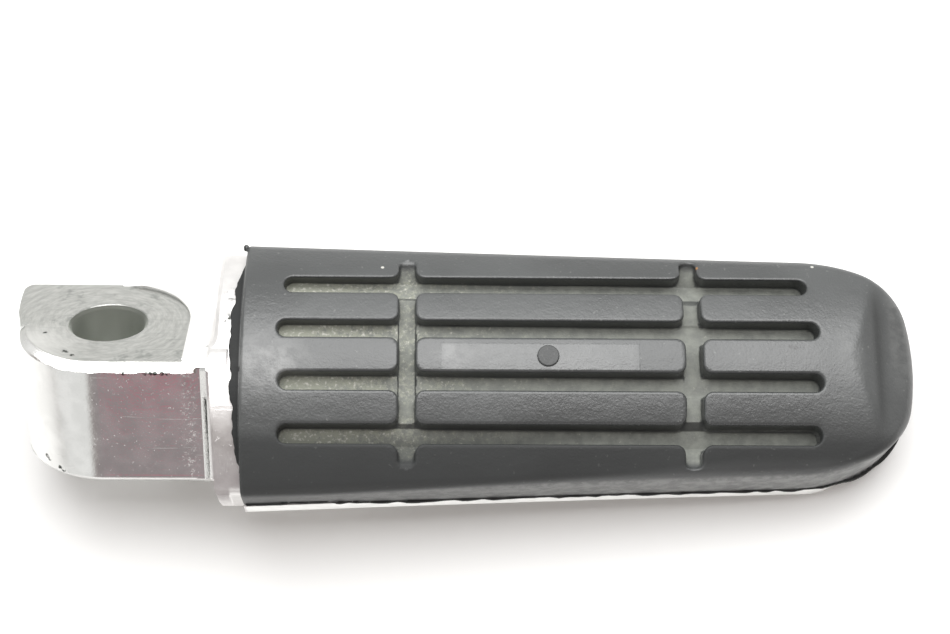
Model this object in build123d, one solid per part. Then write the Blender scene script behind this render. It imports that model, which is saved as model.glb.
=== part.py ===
from build123d import *
import math
import os

# Motorcycle passenger footpeg, sizes in millimetres.
# The origin is the middle of the pivot bore, +X runs out to the free end of the
# tread and +Z is square to the middle of the tread.

# Tongue, which turns about the pivot bore
tongue_radius = 12.2
tongue_thickness = 18.8
tongue_roll = 45.0
tongue_chamfer = 0.9
pivot_bore = 10.2
bore_chamfer = 0.5
machined_step = 0.35
spotface_radius = 11.4
neck_fillet = 1.4

# Flange between the tongue and the tread
flange_x = 15.5
flange_thickness = 3.7
flange_half_width = 17.4
flange_drop = 2.0
flange_corner = 2.5
flange_edge = 0.5
lobe_margin = 1.7
lobe_foot_width = 5.1
lobe_corner = 3.0

# Tread, seen from above and from its end
tread_tip_x = 112.3
tread_root_half_width = 18.3
tread_mid_half_width = 16.65
tread_tip_half_width = 15.3
tread_end_radius = 30.0
tread_corner = 9.0
crest_z = 14.65
crown_radius = 26.6
crest_flat = 0.02
tread_bottom_z = 1.0
fold_radius = 1.2

# Nose, where the tread falls away to the free end
nose_start_x = 101.2
nose_slope = 38.0
nose_slope_run = 1.2
nose_toe_slope = 24.6
nose_crest_radius = 6.5
nose_valley_radius = 4.0
nose_room = 5.0

# Grooves in the tread
long_groove_pitch = (3.68, 10.57)
long_groove_width = 2.46
long_groove_start_x = 24.3
long_groove_end_x = 98.5
long_groove_depth = 3.0
long_groove_fall = 1.0
cross_groove_x = (41.8, 81.0)
cross_groove_width = 2.3
cross_groove_reach = 15.0
cross_groove_depth = 3.4
cross_floor_radius = 92.0
block_corner = 1.3

# Small moulded forms on the tread
dot_x = 61.0
dot_diameter = 3.0
dot_height = 0.3
panel_length = 27.0
panel_width = 4.2
panel_height = 0.1
lip_start_x = 18.0
lip_thickness = 0.6
lip_half_width = 13.5

# Cast tray under the tread
tray_bottom_z = -3.4
tray_tip_x = 107.6
tray_corner = 8.0
tray_edge = 0.8
tray_wall = 3.0
pocket_end_corner = 7.0
deck_under_z = 0.6
core_inset = 5.0
core_top_z = 4.5
core_clearance = 0.1
core_end_corner = 6.0
core_edge = 0.8
spine_width = 5.0
cross_rib_width = 2.6
cross_rib_x = (59.0, 75.0)
pocket_corner = 1.2
boss_diameter = 15.0
keel_end_x = 36.0
keel_hollow = 1.8
keel_foot = 0.8

# Fastening of the tread from below
screw_x = (44.0, 90.0)
screw_diameter = 5.0
screw_length = 10.0
screw_head_diameter = 9.0
screw_head_height = 3.3
screw_head_edge = 1.3
screw_recess_depth = 1.9
screw_recess_width = 1.1
screw_recess_span = 4.6
hole_clearance = 0.5
screw_room = 0.2
seat_z = 2.3
counterbore_diameter = 12.0
flat_washer_diameter = 10.0
flat_washer_thickness = 1.0
spring_washer_diameter = 8.8
spring_washer_thickness = 1.3
spring_washer_gap = 1.0
spring_washer_turn = 20.0
plate_thickness = 2.0
plate_inset = 1.0
nut_across_flats = 8.0
nut_height = 3.2
tip_room = 0.3

# How far a cut runs past what it cuts, and how near two places count as one
cut_room = 1.0
near_by = 0.1

# Values worked out from the sizes above
tread_root_x = flange_x + flange_thickness
crown_axis_z = crest_z - crown_radius
flange_radius = crown_radius - flange_drop
plate_bottom_z = core_top_z
plate_top_z = plate_bottom_z + plate_thickness
nut_top_z = plate_top_z + nut_height
flat_washer_z = seat_z - flat_washer_thickness
spring_washer_z = flat_washer_z - spring_washer_thickness
screw_tip_z = spring_washer_z + screw_length
half_thickness = tongue_thickness / 2
lobe_near_y = -half_thickness * math.sqrt(2) - lobe_margin
lobe_far_y = tongue_radius * math.sqrt(2) + lobe_margin
lobe_depth = (lobe_far_y - lobe_near_y - lobe_foot_width) / 2


def tongue_frame():
    """The frame whose Z runs along the pivot bore."""
    return Rot(-tongue_roll, 0, 0)


def plan_outline(tip_x, corner, inset=0.0):
    """The tread's outline from above, with tapered sides and a round end."""
    root = tread_root_half_width - inset
    middle = tread_mid_half_width - inset
    tip = tread_tip_half_width - inset
    end_x = tip_x - inset
    bow = tread_end_radius - math.sqrt(tread_end_radius**2 - tip**2)
    shoulder_x = end_x - bow
    middle_x = (tread_root_x + shoulder_x) / 2
    near_side = ThreePointArc((tread_root_x, -root), (middle_x, -middle), (shoulder_x, -tip))
    end = ThreePointArc((shoulder_x, -tip), (end_x, 0), (shoulder_x, tip))
    far_side = ThreePointArc((shoulder_x, tip), (middle_x, middle), (tread_root_x, root))
    root_line = Line((tread_root_x, root), (tread_root_x, -root))
    outline = make_face(near_side + end + far_side + root_line)
    shoulders = outline.vertices().sort_by(Axis.X)[-2:]
    return fillet(shoulders, corner)


def prism(outline, low, high):
    """The outline raised from one height to another."""
    return extrude(Pos(0, 0, low) * outline, high - low)


def machined_area():
    """Where the cutter has faced the tongue, seen along the pivot bore."""
    reach = tongue_radius + 1
    round_part = Circle(spotface_radius)
    outer_half = Pos(-reach / 2, 0) * Rectangle(reach, 2 * reach)
    ridge_part = Pos(spotface_radius / 2, -reach / 2) * Rectangle(spotface_radius, reach)
    return round_part + outer_half + ridge_part


def tongue():
    """The rounded block that turns in the bracket, with two machined faces."""
    root_x = flange_x + flange_thickness / 2
    block = Pos(root_x / 2, 0) * Rectangle(root_x, 2 * tongue_radius)
    cast_half = half_thickness + machined_step
    blank = extrude(Circle(tongue_radius) + block, cast_half, both=True)
    rims = blank.faces().sort_by(Axis.Z)[-1].edges() + blank.faces().sort_by(Axis.Z)[0].edges()
    rims = [edge for edge in rims if edge.center().X < root_x - near_by]
    blank = chamfer(rims, tongue_chamfer + machined_step)
    facing = extrude(Pos(0, 0, half_thickness) * machined_area(), 2 * machined_step)
    blank -= facing
    blank -= mirror(facing, Plane.XY)
    blank -= Cylinder(pivot_bore / 2, 3 * tongue_thickness)
    sink = Cone(pivot_bore / 2, pivot_bore / 2 + bore_chamfer, bore_chamfer)
    sink = Pos(0, 0, half_thickness - bore_chamfer / 2) * sink
    blank -= sink
    blank -= mirror(sink, Plane.XY)
    return tongue_frame() * blank


def lobe():
    """The outline that hangs below the tray round the tongue's lower corner."""
    outline = Polygon(
        (lobe_near_y - tray_bottom_z, tray_bottom_z),
        (lobe_near_y + lobe_depth, -lobe_depth),
        (lobe_far_y - lobe_depth, -lobe_depth),
        (lobe_far_y + tray_bottom_z, tray_bottom_z),
        align=None,
    )
    return fillet(outline.vertices().sort_by(Axis.Y)[:2], lobe_corner)


def flange():
    """The plate that closes the tread's inner end, with a lobe round the tongue."""
    crown = Pos(0, crown_axis_z) * Circle(flange_radius)
    height = crest_z + abs(tray_bottom_z)
    side_box = Pos(0, tray_bottom_z + height / 2) * Rectangle(2 * flange_half_width, height)
    plate = crown & side_box
    plate = fillet(plate.vertices().sort_by(Axis.Y)[-2:], flange_corner)
    plate = fillet(plate.vertices().sort_by(Axis.Y)[:2], tray_edge)
    section = Plane.YZ.offset(flange_x) * (plate + lobe())
    return extrude(section, flange_thickness)


def keel():
    """The lobe carried on under the tray, where it runs out in a hollow curve."""
    foot_z = -lobe_depth + keel_foot
    sweep_x = (tread_root_x + keel_end_x) / 2 - keel_hollow
    sweep_z = (tray_bottom_z - lobe_depth) / 2 + keel_hollow
    top = Line((keel_end_x, tray_bottom_z), (tread_root_x, tray_bottom_z))
    root = Line((tread_root_x, tray_bottom_z), (tread_root_x, foot_z))
    curve = ThreePointArc((tread_root_x, foot_z), (sweep_x, sweep_z), (keel_end_x, tray_bottom_z))
    side = extrude(Plane.XZ * make_face(top + root + curve), 2 * tread_root_half_width, both=True)
    body = extrude(Plane.YZ.offset(tread_root_x) * lobe(), keel_end_x - tread_root_x)
    return body & side


def near_boss(corner):
    """True for a corner that lies on a screw boss."""
    gaps = [math.hypot(corner.X - x, corner.Y) for x in screw_x]
    return min(gaps) < boss_diameter / 2 + near_by


def pockets():
    """The hollows under the deck beyond the keel, between the wall, the spine and the ribs."""
    area = plan_outline(tray_tip_x, pocket_end_corner, tray_wall)
    start_x = keel_end_x + tray_wall
    area -= Pos(start_x / 2, 0) * Rectangle(start_x, 4 * tread_root_half_width)
    area -= Pos(tray_tip_x / 2, 0) * Rectangle(tray_tip_x, spine_width)
    for x in screw_x:
        area -= Pos(x, 0) * Circle(boss_diameter / 2)
    for x in cross_rib_x:
        area -= Pos(x, 0) * Rectangle(cross_rib_width, 4 * tread_root_half_width)
    hollows = prism(area, tray_bottom_z - cut_room, deck_under_z)
    corners = [edge for edge in hollows.edges().filter_by(Axis.Z) if not near_boss(edge.center())]
    return fillet(corners, pocket_corner)


def core_area(inset):
    """The outline of the block that rises into the tread."""
    return plan_outline(tray_tip_x, core_end_corner, core_inset + inset)


def tray():
    """The cast tray with its rim, its core inside the tread and its underside."""
    body = prism(plan_outline(tray_tip_x, tray_corner), tray_bottom_z, tread_bottom_z)
    low_rim = body.faces().sort_by(Axis.Z)[0].edges()
    low_rim = [edge for edge in low_rim if edge.center().X > tread_root_x + near_by]
    body = chamfer(low_rim, tray_edge)
    core = prism(core_area(0), tread_bottom_z, core_top_z)
    top_rim = core.faces().sort_by(Axis.Z)[-1].edges()
    top_rim = [edge for edge in top_rim if edge.center().X > tread_root_x + near_by]
    body += chamfer(top_rim, core_edge)
    body -= pockets()
    return body


def screw_holes():
    """Clearance holes for the two screws, counterbored from below."""
    holes = []
    for x in screw_x:
        hole = Pos(x, 0) * Circle((screw_diameter + hole_clearance) / 2)
        sink = Pos(x, 0) * Circle(counterbore_diameter / 2)
        holes.append(prism(hole, tray_bottom_z, core_top_z + cut_room))
        holes.append(prism(sink, tray_bottom_z - cut_room, seat_z))
    return holes


def at_flange_face(edge):
    """True for an edge that lies in the flange's face on the tongue's side."""
    ends = (edge.position_at(0), edge.position_at(0.5), edge.position_at(1))
    return max(abs(end.X - flange_x) for end in ends) < near_by / 10


def beside_tongue(edge):
    """True for an edge where the tongue meets the flange, above the tray."""
    middle = tongue_frame().inverse() * Vertex(*edge.position_at(0.5))
    across = abs(middle.Y) < tongue_radius + near_by
    along = abs(middle.Z) < half_thickness + machined_step + near_by
    return across and along and edge.center().Z > tray_bottom_z + neck_fillet


def on_rim(edge):
    """True for an edge of the flange's side or crown."""
    side = abs(edge.center().Y) > flange_half_width - near_by
    crown = edge.geom_type == GeomType.CIRCLE and edge.center().Z > 0
    return side or crown


def neck():
    """The tongue and the flange, joined by a fillet and with the flange's rim eased."""
    body = tongue() + flange()
    roots = [edge for edge in body.edges() if at_flange_face(edge) and beside_tongue(edge)]
    body = fillet(roots, neck_fillet)
    rim = [edge for edge in body.edges() if at_flange_face(edge) and on_rim(edge)]
    return chamfer(rim, flange_edge)


def peg_body():
    """The whole casting: tongue, flange, keel and tray."""
    body = neck() + keel() + tray()
    for hole in screw_holes():
        body -= hole
    return body


def crown_solid(radius, drop=0.0):
    """A long body under an arc across the peg, its crest lowered by the drop."""
    depth = crest_z + crown_radius
    arc = Pos(0, crest_z - drop - radius) * Circle(radius)
    box = Pos(0, crest_z - drop - depth / 2) * Rectangle(4 * crown_radius, depth)
    section = Plane.YZ * (arc & box)
    return extrude(section, 2 * tread_tip_x)


def nose_solid():
    """A body under the tread's profile along the peg, falling away at the nose."""
    top_z = crest_z - crest_flat
    steep = math.radians(nose_slope)
    toe = math.radians(nose_toe_slope)
    x1 = nose_start_x + nose_crest_radius * math.sin(steep)
    z1 = top_z - nose_crest_radius * (1 - math.cos(steep))
    x2 = x1 + nose_slope_run
    z2 = z1 - nose_slope_run * math.tan(steep)
    x3 = x2 + nose_valley_radius * (math.sin(steep) - math.sin(toe))
    z3 = z2 - nose_valley_radius * (math.cos(toe) - math.cos(steep))
    x4 = tread_tip_x + nose_room
    z4 = z3 - (x4 - x3) * math.tan(toe)
    half_x = nose_start_x + nose_crest_radius * math.sin(steep / 2)
    half_z = top_z - nose_crest_radius * (1 - math.cos(steep / 2))
    mid = (steep + toe) / 2
    valley_x = x2 + nose_valley_radius * (math.sin(steep) - math.sin(mid))
    valley_z = z2 - nose_valley_radius * (math.cos(mid) - math.cos(steep))
    low_z = tray_bottom_z - nose_room
    plateau = Polyline((x4, z4), (x4, low_z), (0, low_z), (0, top_z), (nose_start_x, top_z))
    crest = ThreePointArc((nose_start_x, top_z), (half_x, half_z), (x1, z1))
    slope = Line((x1, z1), (x2, z2))
    valley = ThreePointArc((x2, z2), (valley_x, valley_z), (x3, z3))
    toe_line = Line((x3, z3), (x4, z4))
    side = make_face(plateau + crest + slope + valley + toe_line)
    return extrude(Plane.XZ * side, 2 * crown_radius, both=True)


def long_groove_area():
    """The four long grooves from above."""
    length = long_groove_end_x - long_groove_start_x
    middle = (long_groove_end_x + long_groove_start_x) / 2
    area = Sketch()
    for y in long_groove_pitch:
        area += Pos(middle, y) * SlotOverall(length, long_groove_width)
        area += Pos(middle, -y) * SlotOverall(length, long_groove_width)
    return area


def cross_groove_area():
    """The two cross grooves from above."""
    area = Sketch()
    for x in cross_groove_x:
        area += Pos(x, 0) * SlotOverall(2 * cross_groove_reach, cross_groove_width, rotation=90)
    return area


def grooves():
    """What the grooves take out of the tread, with floors that follow the crown."""
    network = long_groove_area() + cross_groove_area()
    crossings = []
    for vertex in network.vertices():
        near = [x for x in cross_groove_x if abs(vertex.X - x) < cross_groove_width]
        if near and abs(vertex.Y) < cross_groove_reach - cross_groove_width / 2 - near_by:
            crossings.append(vertex)
    network = fillet(crossings, block_corner)
    fall = math.degrees(math.atan(long_groove_fall / (long_groove_end_x - long_groove_start_x)))
    long_floor = crown_solid(crown_radius - long_groove_depth, long_groove_depth)
    hinge = Pos((long_groove_start_x + long_groove_end_x) / 2, 0, crest_z)
    long_floor = hinge * Rot(0, fall, 0) * hinge.inverse() * long_floor
    cut = prism(long_groove_area(), 0, 2 * crest_z) - long_floor
    cross_floor = crown_solid(cross_floor_radius, cross_groove_depth)
    reach = cross_groove_width + 2 * block_corner
    for x in cross_groove_x:
        strip = Pos(x, 0) * Rectangle(reach, 4 * cross_groove_reach)
        cut += prism(network & strip, 0, 2 * crest_z) - cross_floor
    return cut


def lip():
    """The thin edge of the tread that lies on the flange."""
    ring = Circle(flange_radius + lip_thickness) - Circle(flange_radius)
    window = Pos(0, crown_radius) * Rectangle(2 * lip_half_width, 2 * crown_radius)
    section = (Pos(0, crown_axis_z) * ring) & (Pos(0, crown_axis_z) * window)
    section = Plane.YZ.offset(lip_start_x) * section
    return extrude(section, tread_root_x - lip_start_x + cut_room)


def dot_and_panel():
    """The round button and the smooth field on the middle block."""
    dot = prism(Pos(dot_x, 0) * Circle(dot_diameter / 2), core_top_z, crest_z + dot_height)
    field = prism(Pos(dot_x, 0) * Rectangle(panel_length, panel_width), core_top_z, 2 * crest_z)
    field = field & crown_solid(crown_radius + panel_height, -panel_height)
    return dot + field


def nut_blank():
    """A weld nut without its thread, standing on the plate."""
    hexagon = RegularPolygon(nut_across_flats / 2, 6, major_radius=False)
    return prism(hexagon, plate_top_z, nut_top_z)


def insert_plate():
    """The steel strip moulded into the tread, with a hole for each screw."""
    plate = prism(core_area(plate_inset), plate_bottom_z, plate_top_z)
    for x in screw_x:
        hole = Pos(x, 0) * Circle((screw_diameter + hole_clearance) / 2)
        plate -= prism(hole, plate_bottom_z - cut_room, plate_top_z + cut_room)
    return plate


def tread_rubber():
    """The moulded rubber tread."""
    block = prism(plan_outline(tread_tip_x, tread_corner), tread_bottom_z, 2 * crest_z)
    block = block & crown_solid(crown_radius)
    block = block & nose_solid()
    fold = []
    for wall in block.faces().filter_by(lambda face: abs(face.normal_at().Z) < near_by):
        if wall.center().X > tread_root_x + near_by:
            rims = [edge for edge in wall.edges() if abs(edge.tangent_at(0.5).Z) < 1 - near_by]
            fold += [edge for edge in rims if edge.center().Z > tread_bottom_z + fold_radius]
    block = fillet(fold, fold_radius)
    block -= grooves()
    block += dot_and_panel()
    block += lip()
    block -= prism(core_area(-core_clearance), tread_bottom_z - cut_room, core_top_z)
    block -= prism(core_area(plate_inset), plate_bottom_z - core_clearance, plate_top_z)
    for x in screw_x:
        block -= Pos(x, 0, 0) * nut_blank()
        shank_hole = Pos(x, 0) * Circle((screw_diameter + screw_room) / 2)
        block -= prism(shank_hole, plate_top_z, screw_tip_z + tip_room)
    return block


def weld_nut(x):
    """One nut on the insert plate."""
    bore = prism(Circle(screw_diameter / 2), plate_top_z - cut_room, nut_top_z + cut_room)
    return Pos(x, 0, 0) * (nut_blank() - bore)


def screw(x):
    """A pan head screw with a cross recess, put in from below."""
    head_z = spring_washer_z - screw_head_height
    head = Pos(0, 0, head_z + screw_head_height / 2) * Cylinder(screw_head_diameter / 2, screw_head_height)
    rim = head.faces().sort_by(Axis.Z)[0].edges()
    head = chamfer(rim, screw_head_edge)
    slot = Box(screw_recess_span, screw_recess_width, 2 * screw_recess_depth)
    recess = slot + Rot(0, 0, 90) * slot
    head -= Pos(0, 0, head_z) * recess
    shank = prism(Circle(screw_diameter / 2), spring_washer_z, screw_tip_z)
    return Pos(x, 0, 0) * (head + shank)


def flat_washer(x):
    """A plain washer against the seat in the tray."""
    ring = Circle(flat_washer_diameter / 2) - Circle((screw_diameter + hole_clearance) / 2)
    return Pos(x, 0, 0) * prism(ring, flat_washer_z, seat_z)


def spring_washer(x):
    """A split washer between the screw head and the plain washer."""
    ring = Circle(spring_washer_diameter / 2) - Circle((screw_diameter + hole_clearance / 2) / 2)
    gap = Pos(spring_washer_diameter / 2, 0) * Rectangle(spring_washer_diameter, spring_washer_gap)
    gap = Rot(0, 0, spring_washer_turn) * gap
    return Pos(x, 0, 0) * prism(ring - gap, spring_washer_z, flat_washer_z)


def parts():
    """Every piece by its name."""
    pieces = {
        "peg_body": peg_body(),
        "tread_rubber": tread_rubber(),
        "insert_plate": insert_plate(),
    }
    for place, x in zip(("inner", "outer"), screw_x):
        pieces["weld_nut_" + place] = weld_nut(x)
        pieces["screw_" + place] = screw(x)
        pieces["flat_washer_" + place] = flat_washer(x)
        pieces["spring_washer_" + place] = spring_washer(x)
    return pieces


os.makedirs("parts", exist_ok=True)
for name, shape in parts().items():
    export_step(shape, "parts/" + name + ".step")
    print(name, round(shape.volume, 1))
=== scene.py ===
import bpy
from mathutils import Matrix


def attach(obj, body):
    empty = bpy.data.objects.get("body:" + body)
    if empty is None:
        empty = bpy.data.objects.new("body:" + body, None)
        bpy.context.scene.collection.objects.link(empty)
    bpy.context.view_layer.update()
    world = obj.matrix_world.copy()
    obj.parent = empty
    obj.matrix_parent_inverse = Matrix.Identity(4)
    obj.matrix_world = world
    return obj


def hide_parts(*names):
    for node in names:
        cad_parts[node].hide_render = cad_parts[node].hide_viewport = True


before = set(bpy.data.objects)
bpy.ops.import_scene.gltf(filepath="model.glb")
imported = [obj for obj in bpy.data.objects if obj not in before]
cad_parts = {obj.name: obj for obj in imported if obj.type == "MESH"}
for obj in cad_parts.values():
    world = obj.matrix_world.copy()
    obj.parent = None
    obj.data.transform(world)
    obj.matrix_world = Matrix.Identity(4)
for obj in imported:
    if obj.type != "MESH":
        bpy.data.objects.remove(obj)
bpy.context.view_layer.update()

import math
from types import SimpleNamespace

import bpy
import numpy as np
from mathutils import Matrix, Vector

# Motorcycle passenger footpeg: looks, camera and light, in the part's frame.
# Named lengths and the rubber's field are in millimetres, apart from the lists headed as metres.
# Materials and Blender's own calls are in metres.
MM = 0.001

# Camera of the photograph: its place, and its own directions in the part's frame
CAMERA_PLACE = (43.05, -74.41, 266.84)
CAMERA_RIGHT = (0.99952, -0.00305, 0.03076)
CAMERA_UP = (-0.00635, 0.95359, 0.30105)
CAMERA_BACK = (-0.03025, -0.30110, 0.95311)
CAMERA_LENS = 73.46
SENSOR_WIDTH = 36.0
NEAREST_SEEN = 10.0

# Rubber tread: body, grooves, button and smooth field
CREST_Z = 14.65
CROWN_RADIUS = 26.6
CROWN_AXIS_Z = CREST_Z - CROWN_RADIUS
CROWN_REACH = 0.9 * CROWN_RADIUS
ROOT_X = 19.2
ROOT_EDGE = 0.5
TIP_X = 112.3
HALF_WIDTHS = (18.3, 16.65, 15.3)
END_RADIUS = 30.0
END_CORNER = 9.0
FOLD_RADIUS = 1.3
SKIRT_Z = 1.35
SKIRT_EDGE = 0.4
FOOT_INSET = 1.2
FOOT_Z = (1.0, 3.0)
FOOT_BACK = 0.2
NOSE_START_X = 102.1
NOSE_SLOPE = math.radians(38.0)
NOSE_RUN = 1.2
TOE_SLOPE = math.radians(24.6)
NOSE_CREST_RADIUS = 6.0
NOSE_VALLEY_RADIUS = 4.0
NOSE_SHARPNESS = 3.2
GROOVE_Y = (-10.57, -3.68, 3.68, 10.57)
GROOVE_STARTS = (24.3, 24.4, 24.1, 24.8)
GROOVE_ENDS = (98.4, 98.6, 98.3, 97.3)
GROOVE_WIDTH = 2.46
GROOVE_DEPTH = 3.0
GROOVE_FALL = 1.0
GROOVE_EDGE = 0.4
GROOVE_FOOT = 0.5
CROSS_X = (41.8, 81.0)
CROSS_WIDTH = 2.3
CROSS_REACH = 15.0
CROSS_DEPTH = 3.4
CROSS_FLOOR_RADIUS = 92.0
CROSS_RAMP = 3
BLOCK_CORNER = 1.3
DOT_PLACE = (61.0, -0.2)
DOT_RADIUS = 1.5
DOT_HEIGHT = 0.3
DOT_EDGE = 0.18
DOT_FOOT = 0.6
PANEL_X = (46.3, 73.6)
PANEL_Y = (-2.4, 1.7)
CORE_INSET = 4.9
CORE_TOP_Z = 4.5

# Torn lip on the flange, and the ragged fin along the tread's lower edge.
# FLASH_RISE_X is a range of x with its sign turned.
TORN_SPAN = (-45, 135)
LIP_RADIUS = 24.6
LIP_THICKNESS = 0.6
LIP_REACH = 1.35
LIP_HALF_WIDTH = 15.2
LIP_LEAN = 0.014
LIP_TEAR = 0.55
LIP_FRAY = 0.3
LIP_WAVE = 0.06
LIP_SKEW = 0.4
LIP_THINNER = 0.02
LIP_EDGE = 0.2
LIP_OVERLAP = 0.6
LIP_NUB = (19.05, 17.3, 8.1)
LIP_NUB_RADIUS = 0.42
LIP_NUB_SHAPE = (0.7, 0.6)
FLASH_Z = (1.25, 1.8)
FLASH_REACH = 0.12
FLASH_EDGE = 0.12
FLASH_TEAR = 0.3
FLASH_DROOP = 0.35
FLASH_SKEW = 0.6
FLASH_TIP_X = (99.0, 106.0)
FLASH_TIP_REACH = 0.15
FLASH_TIP_DROP = 0.5
FLASH_RISE = 1.3
FLASH_RISE_X = (-42.0, -26.0)
FLASH_ROOT = 1.0
FLASH_START = 0.4
FLASH_BACK_Y = -6

# Grid of the rubber's mesh: start, end, wide step and close step, and where it is close
GRID_X = (19.85, 113.4, 0.6, 0.28)
GRID_Y = (-19.4, 19.4, 0.55, 0.26)
GRID_Z = (-0.3, 15.3, 0.3, 0.22)
CLOSE_X = [(19.9, 26.8), (96.2, 114)]
CLOSE_Y = [(-18.8, -14.4), (14.4, 18.8)]
CLOSE_Z = [(-0.3, 2.0)]
CLOSE_MARGIN = 0.8
LIP_GRID = (16.9, 19.8, 0.19)
DOT_GRID_REACH = 1.8
DOT_GRID_Z = (-0.75, 0.6)
DOT_GRID_STEP = 0.11

# Dust, haze, painted highlights and painted sheen on the rubber: shares at places along the peg, and soft
# patches with their middle x and y, reach in x and y, and strength; the last patch is a painted highlight
# on the nose's crest
DUST_ALONG = ((22, 0.9), (30, 0.76), (38, 0.62), (46, 0.52), (58, 0.44), (66, 0.38), (112, 0.34))
CROSS_DUST = (0.5, 0.36)
HAZE_AND_HIGHLIGHT_PATCHES = ((23.0, -1.5, 5.0, 3.4, 0.8), (47.5, 0.2, 3.0, 2.2, 0.35), (102.4, 0.5, 1.7, 3.5, 0.25))
SKIRT_TOP = ((30, 6.5), (68, 9.0), (88, 10.4))
# Painted sheen on the front skirt and the toe, and a painted highlight on the middle block's crest:
# lighter paint standing in for reflected light
SKIRT_PAINTED_SHEEN = ((24, 0.1), (36, 0.5), (68, 0.75), (88, 0.9))
TOE_PAINTED_SHEEN = 0.24
PANEL_PAINTED_HIGHLIGHT = 0.12
PANEL_HIGHLIGHT_REACH = (13.0, 2.0, 14.0)
# Near black paint: matte torn rubber on the lip and the fin, with painted shade on the fin below the
# skirt; the darker button; painted shade in the nose's valley and on the front flank
TORN_MATTE_AND_SHADE = 0.85
DOT_MATTE = 0.4
VALLEY_PAINTED_SHADE = 0.5
VALLEY_X = 106.7
VALLEY_WIDTH = 0.9
FLANK_PAINTED_SHADE = 0.6

# Where those marks begin and end, by place, depth, distance or the normal's rise. The ranges
# UPRIGHT_FALL, VALLEY_Y, FLANK_TOP and FLANK_Y are of the value with its sign turned.
FLOOR_DEPTH = (0.5, 1.6)
FLOOR_RISE = (0.45, 0.8)
FLOOR_REACH = 0.1
CROSS_FADE = (-0.2, 1.6)
CROSS_SPLIT_X = 60
UPRIGHT_FALL = (-0.5, -0.3)
SKIRT_FADE = (-0.5, 0.3)
SKIRT_END_Y = 4.0
TOE_X = (107.6, 109.4)
TOE_Y = (-8.0, 3.0)
TORN_BEHIND = 0.12
TORN_BELOW = 1.4
TORN_OUTSIDE = 0.03
VALLEY_RISE = (0.5, 0.8)
VALLEY_Y = (-13.0, -6.0)
FLANK_FADE = (-0.3, 0.8)
FLANK_TOP = (-13.8, -12.0)
FLANK_Y = (9.0, 12.0)

# Square back corner of the tongue, in the tongue's own directions, and its arc in degrees
TONGUE_LEAN = math.radians(45)
STOP_BACK = [(-12.1, -0.8), (-12.6, 1.6), (-13.2, 4.0), (-13.45, 6.5), (-13.6, 8.8)]
STOP_TOP = [(-9.0, 12.14), (-6.0, 12.14), (-3.0, 12.14), (0.5, 12.1)]
STOP_CORNER = (-12.5, 11.0)
STOP_ROUND = 1.14
STOP_ROUND_POINTS = 7
STOP_HALF_THICKNESS = 9.41
STOP_BEVEL = 0.45
STOP_BEVEL_SCALE = 0.965
STOP_ARC = (184, 88)
STOP_ARC_RADII = (10.9, 9.0)
STOP_SINK = 0.12

# Marks on the rubber and the metal, with the radius of each kind
PALE_SPECKS = ((98.64, 14.26, 10.5), (104.03, 14.32, 10.1), (103.12, 12.46, 11.2), (38.3, 13.6, 10.9))
PALE_SPECK_RADIUS = 0.3
ORANGE_SPECKS = ((82.22, 13.92, 10.7),)
ORANGE_SPECK_RADIUS = 0.35
DARK_FLECKS = ((94.2, 1.3, 14.62), (94.9, 1.15, 14.62))
DARK_FLECK_RADIUS = 0.42
EJECTOR_MARKS = ((109.9, 7.4, 9.9), (106.4, -3.7, 9.6), (109.8, -3.6, 9.9))
EJECTOR_RADIUS = 0.9
NICKS = [(x, -2.9, 14.35) for x in (3.6, 6.6, 7.3, 7.9, 8.8, 9.6, 10.9)]
NICKS += [(-4.9, 0.7, 12.6), (-4.4, 0.6, 12.7), (-3.5, -0.1, 13.4), (-8.2, 4.4, 8.9)]
NICKS += [(-8.3, -11.2, 1.4), (-7.9, -11.6, 1.4), (-6.3, -12.9, 1.7), (-5.8, -13.3, 1.8)]
NICK_RADIUS = 0.45
SMUDGES = ((17.2, 5.7, 12.0), (17.6, 9.5, 10.8))
SMUDGE_RADIUS = 1.7

# Limits of the metal's zones, in metres and in the tongue's own directions. A radius is from
# the bore's axis, a level from the tongue's middle plane and a reach toward the peg's front.
# LOW_WALL_Z alone is in the part's own direction.
TONGUE_END_X = (0.0136, 0.0138)
FACE_LEVEL = (0.0092, 0.0096)
FACE_RADIUS = (0.0111, 0.0113)
RIM_LEVEL = (0.0079, 0.0096)
RIM_X = (0.004, 0.006)
RIM_Y = (-0.0085, -0.001)
BORE_RADIUS = (0.0059, 0.0061)
BORE_LEVEL = (0.00925, 0.00935)
FRONT_REACH = (0.0117, 0.0121)
FLANGE_X = (0.0146, 0.0196)
TRAY_X = (0.0192, 0.0196)
# Where the painted glow lies on the machined face, toward the round end's front
PAINTED_GLOW_X = (-0.0105, -0.001)
PAINTED_GLOW_Y = (-0.006, 0.001)
SMEAR_X = (0.0108, 0.0136)
LOW_WALL_Z = (0.0011, 0.0014)
FLAT_X = (0.0126, 0.0141)
FILLET_X = (0.0138, 0.0148)
CAP_X = (0.0147, 0.0178)
CAP_REACH = (0.007, 0.0122)
RING_LEVEL = (0.00805, 0.0095)
RING_TOP = (0.00932, 0.00938)
RING_X = (0.0128, 0.0138)
RING_Y = (-0.011, -0.001)
BELOW_LEVEL = (0.0079, 0.00945)
BEVEL_RADIUS = 0.0003

# Limits of the rubber's smooth field and of the rings on its nose, in metres
PANEL_Z = (0.0138, 0.014)
PANEL_EDGE = 0.0003
RING_WIDTH = 0.0002

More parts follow.
